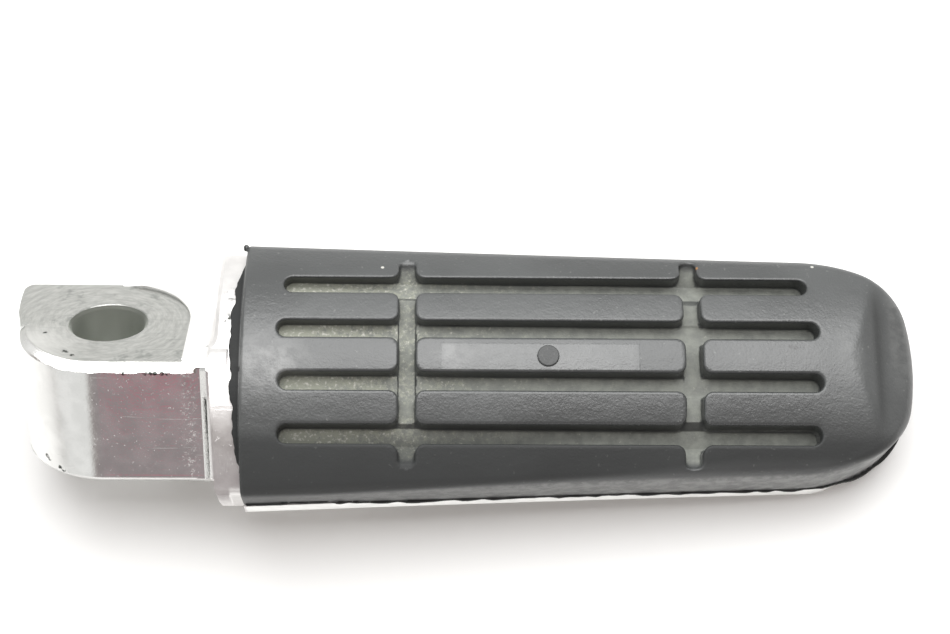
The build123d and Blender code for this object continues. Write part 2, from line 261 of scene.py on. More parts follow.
# Colours, as linear red, green, blue and alpha
RUBBER_DARK = (0.038, 0.041, 0.041, 1)
RUBBER_LIGHT = (0.052, 0.056, 0.056, 1)
RUBBER_SPECK = (0.16, 0.165, 0.16, 1)
RUBBER_HAZE_AND_SHEEN = (0.22, 0.225, 0.22, 1)
RUBBER_MATTE_AND_SHADE = (0.012, 0.013, 0.013, 1)
FILM = (0.24, 0.25, 0.225, 1)
DUST = (0.29, 0.3, 0.25, 1)
GRIT = (0.62, 0.61, 0.56, 1)
PALE_SPECK = (0.5, 0.5, 0.46, 1)
ORANGE_SPECK = (0.3, 0.14, 0.04, 1)
DARK_FLECK = (0.01, 0.01, 0.01, 1)
MACHINED_DARK = (0.34, 0.345, 0.33, 1)
MACHINED_LIGHT = (0.47, 0.475, 0.455, 1)
MACHINED_DRAG = (0.27, 0.285, 0.27, 1)
MACHINED_BLOTCH = (0.2, 0.215, 0.2, 1)
# Painted glow: light paint on the machined face
MACHINED_PAINTED_GLOW = (0.68, 0.68, 0.66, 1)
CAST_DARK = (0.76, 0.76, 0.745, 1)
CAST_LIGHT = (0.85, 0.85, 0.835, 1)
CAST_STAIN = (0.6, 0.6, 0.585, 1)
BORE_WALL = (0.58, 0.6, 0.56, 1)
# Painted pinkish reflection on the flange
FLANGE_PAINTED_REFLECTION = (0.74, 0.68, 0.69, 1)
NICK = (0.05, 0.055, 0.05, 1)
CHALK = (0.8, 0.79, 0.77, 1)
PLATED_STEEL = (0.5, 0.47, 0.4, 1)
ZINC_STEEL = (0.62, 0.63, 0.65, 1)
TABLE_DARK = (0.8, 0.805, 0.8, 1)
TABLE_LIGHT = (0.84, 0.845, 0.84, 1)
TABLE_GLOW = (1.0, 0.93, 0.86, 1)
ROOM_FRONT = (0.24, 0.2, 0.185, 1)
ROOM_BACK = (0.85, 0.85, 0.84, 1)
ROOM_LEFT = (0.9, 0.9, 0.89, 1)
FRONT_SHADE = (0.34, 0.305, 0.31, 1)
FRONT_RED = (0.56, 0.2, 0.25, 1)

# How much of a paint or a change shows where its mask is full, and the rubber's shine
SPECK_SHARE = 0.5
GRIT_SHARE = 0.7
FLANGE_REFLECTION_SHARE = 0.2
CHALK_SHARE = 0.4
FILLET_SHARE = 0.9
BORE_SHARE = 0.8
PANEL_SMOOTHER = 0.08
DIRT_MATTE_SHADE_ROUGHER = 0.4
RUBBER_SHINE = 0.97
DIRT_MATTE_SHADE_DULLER = 0.6

# Patches of the room around, as parts of a unit direction
BACK_Y = (-0.3, 0.7)
LEFT_X = (-0.42, -0.24)
LEFT_Z = (0.5, 0.8)
SHADE_X = (-0.34, -0.24)
SHADE_Y = (-0.8, -0.6)
RED_X = (-0.156, -0.108)
RED_Z = (0.256, 0.44)
RED_SOFT = 0.014

# Table and lamp: lengths in metres
TABLE_REACH = 3.0
GLOW_STRENGTH = 0.08
LAMP_X = 0.055
LAMP_TILT = math.radians(17.0)
LAMP_DISTANCE = 0.56
LAMP_SIZE = (0.62, 0.46)
LAMP_POWER = 4.7


class Graph:
    """A node tree with short calls for the few kinds of node used here."""

    def __init__(self, tree):
        self.tree = tree
        tree.nodes.clear()

    def add(self, kind, inputs=None, **settings):
        node = self.tree.nodes.new(kind)
        for name, value in settings.items():
            setattr(node, name, value)
        for name, value in (inputs or {}).items():
            if isinstance(value, bpy.types.NodeSocket):
                self.tree.links.new(value, node.inputs[name])
            else:
                node.inputs[name].default_value = value
        return node

    def object_place(self):
        return self.add("ShaderNodeTexCoord").outputs["Object"]

    def split(self, vector):
        outputs = self.add("ShaderNodeSeparateXYZ", {"Vector": vector}).outputs
        return outputs["X"], outputs["Y"], outputs["Z"]

    def join(self, x=0.0, y=0.0, z=0.0):
        return self.add("ShaderNodeCombineXYZ", {"X": x, "Y": y, "Z": z}).outputs[0]

    def mapping(self, place, rotation, scale=(1.0, 1.0, 1.0)):
        inputs = {"Vector": place, "Rotation": rotation, "Scale": scale}
        return self.add("ShaderNodeMapping", inputs).outputs[0]

    def attribute(self, name):
        return self.add("ShaderNodeAttribute", attribute_name=name).outputs["Fac"]

    def math(self, operation, a, b=0.0):
        return self.add("ShaderNodeMath", {0: a, 1: b}, operation=operation).outputs[0]

    def product(self, *values):
        found = values[0]
        for value in values[1:]:
            found = self.math("MULTIPLY", found, value)
        return found

    def vector_math(self, operation, a, b=(0.0, 0.0, 0.0)):
        return self.add("ShaderNodeVectorMath", {0: a, 1: b}, operation=operation).outputs[0]

    def distance(self, place, centre):
        inputs = {0: place, 1: tuple(MM * value for value in centre)}
        return self.add("ShaderNodeVectorMath", inputs, operation="DISTANCE").outputs["Value"]

    def step(self, value, low, high, start=0.0, end=1.0):
        """A smooth step from start to end as the value goes from low to high."""
        inputs = {"Value": value, "From Min": low, "From Max": high, "To Min": start, "To Max": end}
        return self.add("ShaderNodeMapRange", inputs, interpolation_type="SMOOTHSTEP").outputs["Result"]

    def fall(self, value, low, high, start=1.0):
        """A smooth step from start down to 0."""
        return self.step(value, low, high, start, 0.0)

    def band(self, value, low, high, soft):
        """1 between two levels and 0 beyond them."""
        return self.product(self.step(value, low, low + soft), self.fall(value, high - soft, high))

    def noise(self, place, scale, detail=3.0, roughness=0.6):
        inputs = {"Vector": place, "Scale": scale, "Detail": detail, "Roughness": roughness}
        return self.add("ShaderNodeTexNoise", inputs).outputs["Fac"]

    def mix(self, share, a, b):
        inputs = {0: share, 6: a, 7: b}
        return self.add("ShaderNodeMix", inputs, data_type="RGBA").outputs[2]

    def bump(self, height, distance, strength, normal=None):
        inputs = {"Height": height, "Distance": distance, "Strength": strength}
        if normal is not None:
            inputs["Normal"] = normal
        return self.add("ShaderNodeBump", inputs).outputs["Normal"]

    def spots(self, place, centres, radius, soft=0.5):
        """Round spots about some places in millimetres, 1 inside and 0 outside."""
        found = None
        for centre in centres:
            away = self.distance(place, centre)
            spot = self.fall(away, (1 - soft) * radius * MM, radius * MM)
            found = spot if found is None else self.math("MAXIMUM", found, spot)
        return found


def new_material(name):
    material = bpy.data.materials.new(name)
    material.use_nodes = True
    return material, Graph(material.node_tree)


def finish_material(graph, inputs):
    shader = graph.add("ShaderNodeBsdfPrincipled", inputs)
    graph.add("ShaderNodeOutputMaterial", {"Surface": shader.outputs["BSDF"]})


def panel_mask(graph, place):
    """The smooth field on the middle block, 1 inside."""
    x, y, z = graph.split(place)
    found = graph.step(z, *PANEL_Z)
    for value, (low, high) in ((x, PANEL_X), (y, PANEL_Y)):
        middle = MM * (low + high) / 2
        reach = MM * (high - low) / 2
        away = graph.math("ABSOLUTE", graph.math("SUBTRACT", value, middle))
        found = graph.product(found, graph.fall(away, reach - PANEL_EDGE, reach))
    return found


def ejector_rings(graph, place):
    """Faint sunken rings of the mould's pins on the nose."""
    found = None
    for centre in EJECTOR_MARKS:
        away = graph.distance(place, centre)
        ring = graph.math("ABSOLUTE", graph.math("SUBTRACT", away, EJECTOR_RADIUS * MM))
        ring = graph.fall(ring, 0.0, RING_WIDTH)
        found = ring if found is None else graph.math("MAXIMUM", found, ring)
    return graph.product(found, -1.0)


def groove_dirt(graph, place, coarse):
    """The thin film and the heavier dust that lie in the grooves."""
    groove = graph.attribute("groove")
    film = graph.product(groove, graph.step(coarse, 0.3, 0.7, start=0.6))
    grains = graph.noise(place, scale=1250.0, detail=5.0, roughness=0.8)
    level = graph.math("ADD", grains, graph.step(graph.attribute("dust"), 0.0, 1.0, start=-0.3, end=0.18))
    return film, graph.product(graph.step(level, 0.42, 0.62), groove)


def rubber_colour(graph, place, coarse, broad, dirt):
    """Near black rubber under its haze and painted highlights and sheen, its dirt, its marks and its
    painted shade.
    """
    film, heavy = dirt
    specks = graph.step(graph.noise(place, scale=1500.0, detail=2.0, roughness=0.5), 0.68, 0.76)
    colour = graph.mix(graph.step(broad, 0.35, 0.65), RUBBER_DARK, RUBBER_LIGHT)
    colour = graph.mix(graph.product(specks, SPECK_SHARE), colour, RUBBER_SPECK)
    # Light grey paint: haze in places, and painted highlights and sheen on the crest, the nose, the toe
    # and the skirt.
    haze_and_sheen_share = graph.product(graph.attribute("haze_and_sheen"), graph.step(coarse, 0.35, 0.65, start=0.35))
    colour = graph.mix(haze_and_sheen_share, colour, RUBBER_HAZE_AND_SHEEN)
    colour = graph.mix(film, colour, FILM)
    colour = graph.mix(heavy, colour, DUST)
    grit = graph.step(graph.noise(place, scale=2100.0), 0.52, 0.7)
    colour = graph.mix(graph.product(grit, heavy, GRIT_SHARE), colour, GRIT)
    # Near black paint: matte torn rubber, and painted shade on the fin, in the nose's valley and on the
    # front flank.
    colour = graph.mix(graph.attribute("matte_and_shade"), colour, RUBBER_MATTE_AND_SHADE)
    marks = [(PALE_SPECKS, PALE_SPECK_RADIUS, PALE_SPECK)]
    marks.append((ORANGE_SPECKS, ORANGE_SPECK_RADIUS, ORANGE_SPECK))
    marks.append((DARK_FLECKS, DARK_FLECK_RADIUS, DARK_FLECK))
    for centres, radius, paint in marks:
        colour = graph.mix(graph.spots(place, centres, radius), colour, paint)
    return colour


def rubber_material():
    """Black moulded rubber with a dull sheen, fine grain, dust in its grooves, and painted highlights and
    shade.
    """
    material, graph = new_material("moulded_rubber")
    place = graph.object_place()
    fine = graph.noise(place, scale=3000.0)
    coarse = graph.noise(place, scale=650.0)
    broad = graph.noise(place, scale=60.0, detail=2.0, roughness=0.5)
    panel = panel_mask(graph, place)
    dirt = groove_dirt(graph, place, coarse)
    # The dirt, the matte torn rubber and the painted shade make the rubber rougher and less shiny.
    dirt_matte_and_shade = graph.math("MAXIMUM", graph.math("MAXIMUM", *dirt), graph.attribute("matte_and_shade"))
    rough = graph.step(broad, 0.3, 0.7, start=0.4, end=0.5)
    rough = graph.math("SUBTRACT", rough, graph.product(panel, PANEL_SMOOTHER))
    rough = graph.math("ADD", rough, graph.product(dirt_matte_and_shade, DIRT_MATTE_SHADE_ROUGHER))
    shine = graph.math("SUBTRACT", RUBBER_SHINE, graph.product(dirt_matte_and_shade, DIRT_MATTE_SHADE_DULLER))
    normal = graph.bump(fine, distance=0.00007, strength=0.7)
    normal = graph.bump(coarse, distance=0.00018, strength=0.4, normal=normal)
    normal = graph.bump(panel, distance=0.00006, strength=0.5, normal=normal)
    normal = graph.bump(ejector_rings(graph, place), distance=0.0001, strength=0.7, normal=normal)
    inputs = {"Base Color": rubber_colour(graph, place, coarse, broad, dirt), "Roughness": rough}
    finish_material(graph, {**inputs, "Specular IOR Level": shine, "Normal": normal})
    return material


def metal_places(graph):
    """Coordinates of the metal, as they are and in the tongue's own directions."""
    at = SimpleNamespace()
    at.place = graph.object_place()
    at.turned = graph.mapping(at.place, (TONGUE_LEAN, 0.0, 0.0))
    at.x, at.y, at.z = graph.split(at.turned)
    at.front = graph.product(at.y, -1.0)
    at.level = graph.math("ABSOLUTE", at.z)
    squares = graph.math("ADD", graph.product(at.x, at.x), graph.product(at.y, at.y))
    at.radius = graph.math("SQRT", squares)
    return at


def metal_zones(graph, at):
    """Where the metal is machined, bored, flange, tray or front face, each from 0 to 1."""
    zone = SimpleNamespace()
    face = graph.band(at.level, *FACE_LEVEL, soft=0.0001)
    face = graph.product(face, graph.fall(at.x, *TONGUE_END_X))
    zone.off_face = graph.step(at.radius, *FACE_RADIUS)
    rim = graph.product(graph.band(at.level, *RIM_LEVEL, soft=0.0003), zone.off_face)
    zone.rim = graph.product(rim, graph.step(at.y, *RIM_Y), graph.fall(at.x, *RIM_X))
    zone.machined = graph.math("MAXIMUM", face, zone.rim)
    zone.bore = graph.product(graph.fall(at.radius, *BORE_RADIUS), graph.fall(at.level, *BORE_LEVEL))
    zone.front = graph.step(at.front, *FRONT_REACH)
    zone.flange = graph.band(at.x, *FLANGE_X, soft=0.0002)
    zone.tray = graph.step(at.x, *TRAY_X)
    return zone


def metal_grain(graph, at):
    """The turning rings and the drag marks of the machined face."""
    angle = graph.math("ARCTAN2", at.y, at.x)
    around = graph.join(graph.product(at.radius, 1100.0), graph.product(angle, 2.4))
    turning = graph.noise(around, scale=1.6, roughness=0.7)
    dragged = graph.mapping(at.turned, (0.0, 0.0, 0.25), (130.0, 1500.0, 400.0))
    return turning, graph.noise(dragged, scale=1.0)


def metal_colour(graph, at, zone, coarse, grain):
    """Cast metal, duller where it is machined, with stains, nicks and smudges, a painted glow on the
    machined face and a painted pinkish reflection on the flange.
    """
    turning, drag = grain
    blotch = graph.noise(at.place, scale=190.0, detail=4.0, roughness=0.7)
    dull = graph.mix(graph.step(turning, 0.3, 0.7), MACHINED_DARK, MACHINED_LIGHT)
    dull = graph.mix(graph.step(drag, 0.55, 0.7, end=0.45), dull, MACHINED_DRAG)
    dull = graph.mix(graph.step(blotch, 0.55, 0.66, end=0.6), dull, MACHINED_BLOTCH)
    # A painted pool of light on the machined face, toward the round end's front.
    painted_glow = graph.product(graph.fall(at.x, *PAINTED_GLOW_X, start=0.8), graph.fall(at.y, *PAINTED_GLOW_Y))
    dull = graph.mix(painted_glow, dull, MACHINED_PAINTED_GLOW)
    cast = graph.mix(graph.step(coarse, 0.35, 0.65), CAST_DARK, CAST_LIGHT)
    stain = graph.noise(at.place, scale=140.0, detail=4.0, roughness=0.65)
    cast = graph.mix(graph.step(stain, 0.56, 0.7, end=0.3), cast, CAST_STAIN)
    colour = graph.mix(zone.machined, cast, dull)
    colour = graph.mix(zone.bore, colour, BORE_WALL)
    # A painted pinkish reflection on the flange, which also dims it a little.
    colour = graph.mix(graph.product(zone.flange, FLANGE_REFLECTION_SHARE), colour, FLANGE_PAINTED_REFLECTION)
    nicks = graph.step(graph.noise(at.place, scale=1700.0), 0.4, 0.5)
    nicks = graph.product(graph.spots(at.place, NICKS, NICK_RADIUS), nicks)
    smudges = graph.step(graph.noise(at.place, scale=1000.0, roughness=0.7), 0.47, 0.6)
    smudges = graph.product(graph.spots(at.place, SMUDGES, SMUDGE_RADIUS, soft=1.0), smudges)
    return graph.mix(graph.math("MAXIMUM", nicks, smudges), colour, NICK)


def bent_normal(graph, normal, changes):
    """The normal turned toward other directions, each by its own share."""
    for share, toward in changes:
        gap = graph.vector_math("SUBTRACT", toward, normal)
        part = graph.add("ShaderNodeVectorMath", {0: gap, "Scale": share}, operation="SCALE").outputs[0]
        normal = graph.vector_math("ADD", normal, part)
    return graph.vector_math("NORMALIZE", normal)


def ring_zone(graph, at, zone):
    """The uneven edge round the machined face, outside its radius."""
    uneven = graph.noise(at.place, scale=420.0, detail=4.0, roughness=0.7)
    uneven = graph.step(uneven, 0.3, 0.7, start=-0.00012, end=0.00014)
    uneven = graph.math("ADD", at.level, uneven)
    ring = graph.product(graph.band(uneven, *RING_LEVEL, soft=0.0001), zone.off_face)
    return graph.product(ring, graph.fall(at.level, *RING_TOP), graph.fall(at.x, *RING_X))


def metal_normal(graph, at, zone):
    """The normal with rounded edges, and turned where the real casting is softer."""
    normal = graph.add("ShaderNodeBevel", {"Radius": BEVEL_RADIUS}, samples=4).outputs["Normal"]
    diagonal = math.sqrt(0.5)
    side = graph.product(graph.math("SIGN", at.z), diagonal)
    axis = graph.join(y=side, z=side)
    rise = graph.math("ABSOLUTE", graph.split(normal)[2])
    draft = graph.product(graph.fall(rise, 0.3, 0.5, start=0.3), zone.tray)
    draft = graph.product(draft, graph.fall(graph.split(at.place)[2], *LOW_WALL_Z))
    flat = graph.product(graph.band(at.x, *FLAT_X, soft=0.0003), zone.front)
    fillet = graph.product(graph.band(at.x, *FILLET_X, soft=0.0003), zone.front, FILLET_SHARE)
    cap = graph.product(graph.band(at.x, *CAP_X, soft=0.0005), graph.step(at.front, *CAP_REACH))
    upper = graph.product(ring_zone(graph, at, zone), graph.fall(at.y, *RING_Y, start=0.85))
    upper = graph.product(upper, graph.step(at.z, 0.0, 0.001))
    below = graph.product(graph.band(at.level, *BELOW_LEVEL, soft=0.0003), zone.front)
    below = graph.product(below, graph.fall(at.z, -0.001, 0.0, start=0.2))
    radial = graph.vector_math("SUBTRACT", at.place, (0.0, 0.0, CROWN_AXIS_Z * MM))
    radial = graph.vector_math("MULTIPLY", radial, (0.0, 1.0, 1.0))
    radial = graph.vector_math("NORMALIZE", radial)
    shares = ((at.x, -1.0), (at.y, -diagonal), (at.y, diagonal))
    inward = graph.join(*(graph.product(value, share) for value, share in shares))
    inward = graph.vector_math("NORMALIZE", inward)
    up = (0.0, 0.0, 1.0)
    front = (0.0, -diagonal, diagonal)
    changes = [(zone.rim, axis), (draft, up), (flat, front), (fillet, (-1.0, 0.0, 0.0))]
    changes += [(cap, radial), (upper, up), (below, up), (graph.product(zone.bore, BORE_SHARE), inward)]
    return bent_normal(graph, normal, changes)


def aluminium_material():
    """Cast and polished aluminium, duller where the tongue is machined and in its bore."""
    material, graph = new_material("cast_aluminium")
    at = metal_places(graph)
    zone = metal_zones(graph, at)
    fine = graph.noise(at.place, scale=2600.0)
    coarse = graph.noise(at.place, scale=320.0, roughness=0.5)
    grain = metal_grain(graph, at)

    smear = graph.step(graph.noise(at.place, scale=1700.0, detail=5.0, roughness=0.8), 0.5, 0.68)
    smear = graph.product(smear, graph.band(at.x, *SMEAR_X, soft=0.001))
    frost = graph.product(graph.math("MAXIMUM", graph.step(fine, 0.62, 0.74), smear), zone.front)

    rough = graph.step(coarse, 0.3, 0.7, start=0.16, end=0.22)
    changes = [(zone.machined, 0.14), (zone.bore, 0.3), (zone.flange, 0.32)]
    changes += [(zone.tray, 0.22), (frost, 0.3), (zone.front, -0.09)]
    for share, extra in changes:
        rough = graph.math("ADD", rough, graph.product(share, extra))

    scratched = graph.mapping(at.place, (0.3, 0.2, 0.5), (60.0, 2600.0, 900.0))
    scratched = graph.step(graph.noise(scratched, scale=1.0, detail=2.0, roughness=0.5), 0.66, 0.72)
    cut = graph.product(graph.math("ADD", *grain), zone.machined)
    normal = metal_normal(graph, at, zone)
    normal = graph.bump(fine, distance=0.00002, strength=0.35, normal=normal)
    normal = graph.bump(coarse, distance=0.00012, strength=0.2, normal=normal)
    normal = graph.bump(scratched, distance=0.00002, strength=0.4, normal=normal)
    normal = graph.bump(cut, distance=0.00004, strength=0.5, normal=normal)

    inputs = {"Base Color": metal_colour(graph, at, zone, coarse, grain), "Metallic": 1.0}
    inputs.update({"Roughness": rough, "Normal": normal})
    bright = graph.add("ShaderNodeBsdfPrincipled", inputs).outputs["BSDF"]
    chalk = graph.add("ShaderNodeBsdfDiffuse", {"Color": CHALK}).outputs["BSDF"]
    mixed = {0: graph.product(frost, CHALK_SHARE), 1: bright, 2: chalk}
    both = graph.add("ShaderNodeMixShader", mixed).outputs[0]
    graph.add("ShaderNodeOutputMaterial", {"Surface": both})
    return material


def steel_material(name, base, rough_low, rough_high):
    """Plated steel of the hidden fastenings."""
    material, graph = new_material(name)
    place = graph.object_place()
    fine = graph.noise(place, scale=1800.0, detail=4.0)
    broad = graph.noise(place, scale=260.0, detail=2.0, roughness=0.5)
    dark = tuple(0.7 * level for level in base[:3]) + (1,)
    colour = graph.mix(graph.step(broad, 0.3, 0.7), dark, base)
    rough = graph.step(fine, 0.3, 0.7, rough_low, rough_high)
    normal = graph.bump(fine, distance=0.00003, strength=0.4)
    inputs = {"Base Color": colour, "Metallic": 1.0, "Roughness": rough, "Normal": normal}
    finish_material(graph, inputs)
    return material


def floor_material():
    """A plain pale table, with a faint warm glow of its own."""
    material, graph = new_material("pale_table")
    broad = graph.noise(graph.object_place(), scale=9.0, detail=2.0, roughness=0.5)
    colour = graph.mix(broad, TABLE_DARK, TABLE_LIGHT)
    glow = {"Emission Color": TABLE_GLOW, "Emission Strength": GLOW_STRENGTH}
    finish_material(graph, {"Base Color": colour, "Roughness": 0.6, **glow})
    return material


def round_max(a, b, radius):
    """The crossing of two bodies, its edge rounded to the radius."""
    u = np.maximum(radius + a, 0)
    v = np.maximum(radius + b, 0)
    return np.minimum(-radius, np.maximum(a, b)) + np.sqrt(u * u + v * v)


def round_min(a, b, radius):
    """The union of two bodies, the corner between them filled to the radius."""
    u = np.maximum(radius - a, 0)
    v = np.maximum(radius - b, 0)
    return np.maximum(radius, np.minimum(a, b)) - np.sqrt(u * u + v * v)


def smooth_step(value, low, high):
    t = np.clip((value - low) / (high - low), 0, 1)
    return t * t * (3 - 2 * t)


def nose_fall(x):
    """How far the profile along the peg lies below the crest, and its slope."""
    steep, toe = math.sin(NOSE_SLOPE), math.sin(TOE_SLOPE)
    x1 = NOSE_START_X + NOSE_CREST_RADIUS * steep
    fall1 = NOSE_CREST_RADIUS * (1 - math.cos(NOSE_SLOPE))
    x2 = x1 + NOSE_RUN
    fall2 = fall1 + NOSE_RUN * math.tan(NOSE_SLOPE)
    x3 = x2 + NOSE_VALLEY_RADIUS * (steep - toe)
    fall3 = fall2 + NOSE_VALLEY_RADIUS * (math.cos(TOE_SLOPE) - math.cos(NOSE_SLOPE))
    crest_run = np.clip(x - NOSE_START_X, 0, NOSE_CREST_RADIUS * steep)
    crest_rise = np.sqrt(NOSE_CREST_RADIUS**2 - crest_run**2)
    valley_run = NOSE_VALLEY_RADIUS * steep - np.clip(x - x2, 0, x3 - x2)
    valley_rise = np.sqrt(NOSE_VALLEY_RADIUS**2 - valley_run**2)
    fall = NOSE_CREST_RADIUS - crest_rise
    fall = np.where(x > x1, fall1 + (x - x1) * math.tan(NOSE_SLOPE), fall)
    fall = np.where(x > x2, fall2 + valley_rise - NOSE_VALLEY_RADIUS * math.cos(NOSE_SLOPE), fall)
    fall = np.where(x > x3, fall3 + (x - x3) * math.tan(TOE_SLOPE), fall)
    slope = np.where(x > x1, math.tan(NOSE_SLOPE), crest_run / crest_rise)
    slope = np.where(x > x2, valley_run / valley_rise, slope)
    slope = np.where(x > x3, math.tan(TOE_SLOPE), slope)
    return fall, slope


def top_distance(x, y, z):
    """The distance to the tread's top, its crown and its nose run into each other."""
    across = np.clip(y, -CROWN_REACH, CROWN_REACH)
    rise = np.sqrt(CROWN_RADIUS**2 - across**2)
    crown_fall = CROWN_RADIUS - rise
    fall, slope = nose_fall(x)
    both = (crown_fall**NOSE_SHARPNESS + fall**NOSE_SHARPNESS + 1e-12) ** (1 / NOSE_SHARPNESS)
    along = slope * (fall / both) ** (NOSE_SHARPNESS - 1)
    over = across / rise * (crown_fall / both) ** (NOSE_SHARPNESS - 1)
    return (z - CREST_Z + both) / np.sqrt(1 + along**2 + over**2)


def half_width(x):
    """The tread's half width along the peg: a slow curve through three sizes."""
    root, middle, tip = HALF_WIDTHS
    shoulder = TIP_X - END_RADIUS + math.sqrt(END_RADIUS**2 - tip**2)
    t = (x - ROOT_X) / (shoulder - ROOT_X)
    return root + (4 * middle - 3 * root - tip) * t + (2 * root + 2 * tip - 4 * middle) * t * t


def outline(x, y, inset=0.0):
    """The tread's plan outline as a distance, negative inside."""
    side = np.abs(y) - half_width(x) + inset
    end = np.hypot(np.maximum(x - TIP_X + END_RADIUS, 0), y) - END_RADIUS + inset
    return round_max(side, end, END_CORNER)


def crown(y, z, radius, drop=0.0):
    """The distance to an arc across the peg, its crest lowered by the drop."""
    return np.hypot(y, z - CREST_Z + drop + radius) - radius


def capsule(along, across, start, end, width):
    """The distance to a slot with round ends."""
    nearest = np.clip(along, start + width / 2, end - width / 2)
    return np.hypot(along - nearest, across) - width / 2


def long_grooves(x, y):
    slots = zip(GROOVE_Y, GROOVE_STARTS, GROOVE_ENDS)
    found = [capsule(x, y - middle, start, end, GROOVE_WIDTH) for middle, start, end in slots]
    return np.minimum.reduce(found)


def cross_grooves(x, y):
    found = [capsule(y, x - middle, -CROSS_REACH, CROSS_REACH, CROSS_WIDTH) for middle in CROSS_X]
    return np.minimum.reduce(found)


def groove_cut(x, y, z):
    """What the grooves take out: slots down to floors that follow the crown."""
    long_slot = long_grooves(x, y)
    cross_slot = cross_grooves(x, y)
    walls = round_min(long_slot, cross_slot, BLOCK_CORNER)
    middle = (GROOVE_STARTS[0] + GROOVE_ENDS[0]) / 2
    fall = GROOVE_FALL * (x - middle) / (GROOVE_ENDS[0] - GROOVE_STARTS[0])
    long_floor = crown(y, z + fall, CROWN_RADIUS - GROOVE_DEPTH, GROOVE_DEPTH)
    cross_floor = crown(y, z, CROSS_FLOOR_RADIUS, CROSS_DEPTH)
    long_floor = long_floor - np.maximum(long_slot, 0)
    cross_floor = cross_floor - CROSS_RAMP * np.maximum(cross_slot, 0)
    floor = np.maximum(long_floor, cross_floor)
    return round_max(walls, -floor, GROOVE_FOOT)


def torn_line(along, seed, pitch=0.7):
    """An uneven torn line from 0 to 1, in steps of the pitch in millimetres."""
    places = np.arange(*TORN_SPAN, pitch)
    heights = np.random.default_rng(seed).random(len(places))
    return np.interp(along, places, heights)


def lip_shape(x, y, z):
    """The thin ragged edge of the tread that lies on the flange."""
    bow = np.clip(1 - (np.abs(y) / LIP_HALF_WIDTH) ** 3, 0, 1) * (1 + LIP_LEAN * y)
    torn = LIP_TEAR * torn_line(y, seed=3, pitch=1.9)
    torn = torn + LIP_FRAY * torn_line(y, seed=4, pitch=0.6) - LIP_FRAY
    reach = LIP_REACH * bow + torn
    front = ROOT_X - reach - x
    radius = np.hypot(y, z - CROWN_AXIS_Z)
    wave = LIP_WAVE * torn_line(y + LIP_SKEW * x, seed=5, pitch=1.9)
    thick = LIP_THICKNESS / 2 + wave - LIP_THINNER
    sheet = np.abs(radius - LIP_RADIUS - thick) - thick
    back = x - ROOT_X - LIP_OVERLAP
    ends = np.abs(y) - LIP_HALF_WIDTH
    sheet = np.maximum(round_max(sheet, np.maximum(front, ends), LIP_EDGE), back)
    nub = [part - middle for part, middle in zip((x, y, z), LIP_NUB)]
    across, tall = LIP_NUB_SHAPE
    nub = np.sqrt(nub[0] ** 2 + across * nub[1] ** 2 + tall * nub[2] ** 2) - LIP_NUB_RADIUS
    return np.minimum(sheet, nub)


def flash_shape(x, y, z):
    """The thin ragged fin that stands out along the tread's lower edge, painted near black as painted
    shade below the skirt.
    """
    side = outline(x, y)
    tip = smooth_step(x, *FLASH_TIP_X)
    rise = FLASH_RISE * smooth_step(-x, *FLASH_RISE_X)
    around = x - FLASH_SKEW * y
    out = side - FLASH_REACH - FLASH_TEAR * torn_line(around, seed=7, pitch=1.3)
    out = out - (FLASH_TIP_REACH + FLASH_TEAR * torn_line(around, seed=8)) * tip
    low, high = FLASH_Z
    low = low + rise - FLASH_TIP_DROP * tip - FLASH_DROOP * torn_line(around, seed=9, pitch=1.1)
    level = np.maximum(low - z, z - high - rise)
    fin = round_max(out, level, FLASH_EDGE)
    limits = np.maximum(-side - FLASH_ROOT, ROOT_X + FLASH_START - x)
    return np.maximum(fin, np.maximum(limits, y - FLASH_BACK_Y))


def dot_field(x, y, z):
    """The round button on the middle block."""
    round_wall = np.hypot(x - DOT_PLACE[0], y - DOT_PLACE[1]) - DOT_RADIUS
    button = round_max(round_wall, crown(y, z, CROWN_RADIUS + DOT_HEIGHT, -DOT_HEIGHT), DOT_EDGE)
    return np.maximum(button, CREST_Z - DOT_FOOT - z)


def tread_field(x, y, z):
    """The rubber tread as a distance in millimetres, negative inside."""
    top = top_distance(x, y, z)
    side = outline(x, y)
    body = round_max(top, side, FOLD_RADIUS)
    body = round_max(body, ROOT_X - x, ROOT_EDGE)
    body = round_max(body, SKIRT_Z - z, SKIRT_EDGE)
    foot_low, foot_high = FOOT_Z
    foot = np.maximum(outline(x, y, FOOT_INSET), foot_low - z)
    foot = np.maximum(np.maximum(foot, z - foot_high), ROOT_X + FOOT_BACK - x)
    body = np.minimum(body, foot)
    body = round_max(body, -groove_cut(x, y, z), GROOVE_EDGE)
    body = np.minimum(body, lip_shape(x, y, z))
    body = np.minimum(body, flash_shape(x, y, z))
    core = np.maximum(outline(x, y, CORE_INSET), z - CORE_TOP_Z)
    return np.maximum(body, -core)


def grid_line(start, end, coarse, fine, details):
    """Places along an axis, close together near the details and wider elsewhere."""
    places = [start]
    while places[-1] < end:
        here = places[-1]
        near = any(low <= here <= high for low, high in details)
        places.append(here + (fine if near else coarse))
    return np.array(places)


